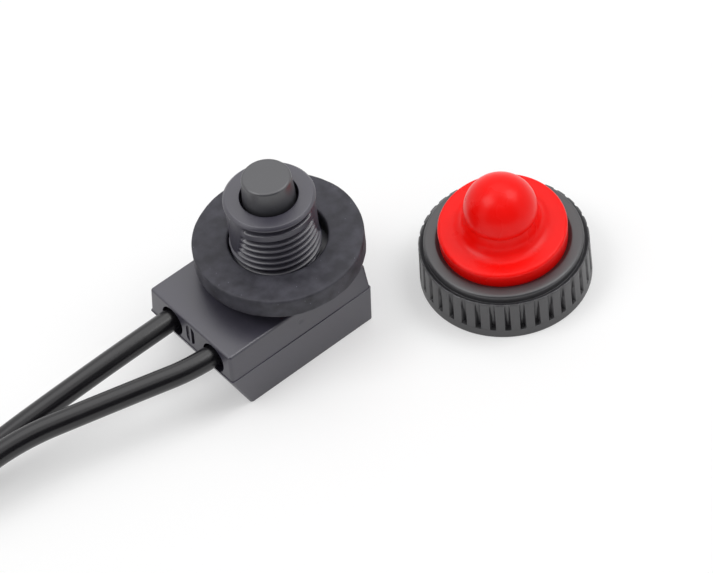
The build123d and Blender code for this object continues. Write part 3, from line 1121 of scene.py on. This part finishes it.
def make_dark_card():
    """A dark card round the camera's side, which gives gloss a dark band."""
    material, tree, shader = new_material("dark_card")
    set_inputs(tree, shader, {"Base Color": (*linear(CARD), 1.0), "Roughness": 1.0})
    points = []
    for row in range(CARD_ROWS + 1):
        elevation = CARD_HEIGHT * row / CARD_ROWS
        level = cos(elevation)
        for column in range(CARD_COLUMNS + 1):
            azimuth = CAMERA_AZIMUTH + CARD_HALF_WIDTH * (2 * column / CARD_COLUMNS - 1)
            towards = Vector((sin(azimuth) * level, -cos(azimuth) * level, sin(elevation)))
            points.append(CAMERA_TARGET + towards * CARD_DISTANCE)
    faces = []
    for row in range(CARD_ROWS):
        for column in range(CARD_COLUMNS):
            corner = row * (CARD_COLUMNS + 1) + column
            above = corner + CARD_COLUMNS + 1
            faces.append((corner, corner + 1, above + 1, above))
    mesh = bpy.data.meshes.new("dark_card")
    mesh.from_pydata(points, [], faces)
    mesh.materials.append(material)
    card = bpy.data.objects.new("dark_card", mesh)
    card.visible_camera = False
    card.visible_diffuse = False
    bpy.context.scene.collection.objects.link(card)


def make_stage():
    """White sweep, soft lamps, a pale world and the camera."""
    scene = bpy.context.scene
    scene.view_settings.view_transform = "Standard"
    half = FLOOR_SIZE / 2
    outline = ((-half, -half), (half, -half), (half, half), (-half, half))
    corners = [(*corner, -FLOOR_DROP) for corner in outline]
    mesh = bpy.data.meshes.new("floor")
    mesh.from_pydata(corners, [], [(0, 1, 2, 3)])
    mesh.materials.append(white_paper("white_paper_matt"))
    floor_sheet = bpy.data.objects.new("floor", mesh)
    scene.collection.objects.link(floor_sheet)

    world = bpy.data.worlds.new("studio")
    world.use_nodes = True
    tree = world.node_tree
    strength = add(
        tree, "ShaderNodeMapRange", {"Value": seen_share(tree), "To Min": WORLD_LIGHT}
    )
    background = {"Color": (1, 1, 1, 1), "Strength": strength.outputs["Result"]}
    set_inputs(tree, tree.nodes["Background"], background)
    scene.world = world

    make_dark_card()
    for lamp in LAMPS:
        make_lamp(*lamp)
    make_camera()


# Add-on


class SWITCH_OT_base(bpy.types.Operator):
    """Build the lower half of the housing"""

    bl_idname = "switch.base"
    bl_label = "Housing base"

    def execute(self, context):
        make_base(context.scene.switch_sizes)
        return {"FINISHED"}


class SWITCH_OT_cover(bpy.types.Operator):
    """Build the upper half of the housing with its threaded bushing"""

    bl_idname = "switch.cover"
    bl_label = "Housing cover"

    def execute(self, context):
        make_cover(context.scene.switch_sizes)
        return {"FINISHED"}


class SWITCH_OT_button(bpy.types.Operator):
    """Build the push button"""

    bl_idname = "switch.button"
    bl_label = "Push button"

    def execute(self, context):
        make_button()
        return {"FINISHED"}


class SWITCH_OT_washer(bpy.types.Operator):
    """Build the sealing washer"""

    bl_idname = "switch.washer"
    bl_label = "Sealing washer"

    def execute(self, context):
        make_washer(context.scene.switch_sizes)
        return {"FINISHED"}


class SWITCH_OT_nut(bpy.types.Operator):
    """Build the cap nut"""

    bl_idname = "switch.nut"
    bl_label = "Cap nut"

    def execute(self, context):
        make_nut(context.scene.switch_sizes)
        return {"FINISHED"}


class SWITCH_OT_boot(bpy.types.Operator):
    """Build the rubber boot"""

    bl_idname = "switch.boot"
    bl_label = "Rubber boot"

    def execute(self, context):
        make_boot()
        return {"FINISHED"}


class SWITCH_OT_leads(bpy.types.Operator):
    """Build both leads with their stripped ends"""

    bl_idname = "switch.leads"
    bl_label = "Leads"

    def execute(self, context):
        make_leads(context.scene.switch_sizes)
        return {"FINISHED"}


class SWITCH_OT_inner_works(bpy.types.Operator):
    """Finish the spring, contacts and terminals inside the housing"""

    bl_idname = "switch.inner_works"
    bl_label = "Inner works"

    def execute(self, context):
        make_inner_works()
        return {"FINISHED"}


class SWITCH_OT_stage(bpy.types.Operator):
    """Set up the floor, the light and the camera"""

    bl_idname = "switch.stage"
    bl_label = "Stage"

    def execute(self, context):
        make_stage()
        return {"FINISHED"}


OPERATORS = (
    SWITCH_OT_stage,
    SWITCH_OT_leads,
    SWITCH_OT_base,
    SWITCH_OT_cover,
    SWITCH_OT_button,
    SWITCH_OT_washer,
    SWITCH_OT_nut,
    SWITCH_OT_boot,
    SWITCH_OT_inner_works,
)


class SWITCH_PT_parts(bpy.types.Panel):
    """Sizes, colours and pieces of the switch"""

    bl_idname = "SWITCH_PT_parts"
    bl_label = "Pushbutton switch"
    bl_space_type = "VIEW_3D"
    bl_region_type = "UI"
    bl_category = "Switch"

    def draw(self, context):
        for group in (context.scene.switch_sizes, context.scene.switch_colours):
            box = self.layout.box()
            for name in group.__annotations__:
                box.prop(group, name)
        for operator in OPERATORS:
            self.layout.operator(operator.bl_idname)


CLASSES = (SwitchSizes, SwitchColours, *OPERATORS, SWITCH_PT_parts)


def register():
    for cls in CLASSES:
        bpy.utils.register_class(cls)
    bpy.types.Scene.switch_sizes = bpy.props.PointerProperty(type=SwitchSizes)
    bpy.types.Scene.switch_colours = bpy.props.PointerProperty(type=SwitchColours)


def unregister():
    del bpy.types.Scene.switch_colours
    del bpy.types.Scene.switch_sizes
    for cls in reversed(CLASSES):
        bpy.utils.unregister_class(cls)


def main():
    register()
    bpy.ops.switch.stage()
    bpy.ops.switch.leads()
    bpy.ops.switch.base()
    bpy.ops.switch.cover()
    bpy.ops.switch.button()
    bpy.ops.switch.washer()
    bpy.ops.switch.nut()
    bpy.ops.switch.boot()
    bpy.ops.switch.inner_works()


if __name__ == "__main__":
    main()
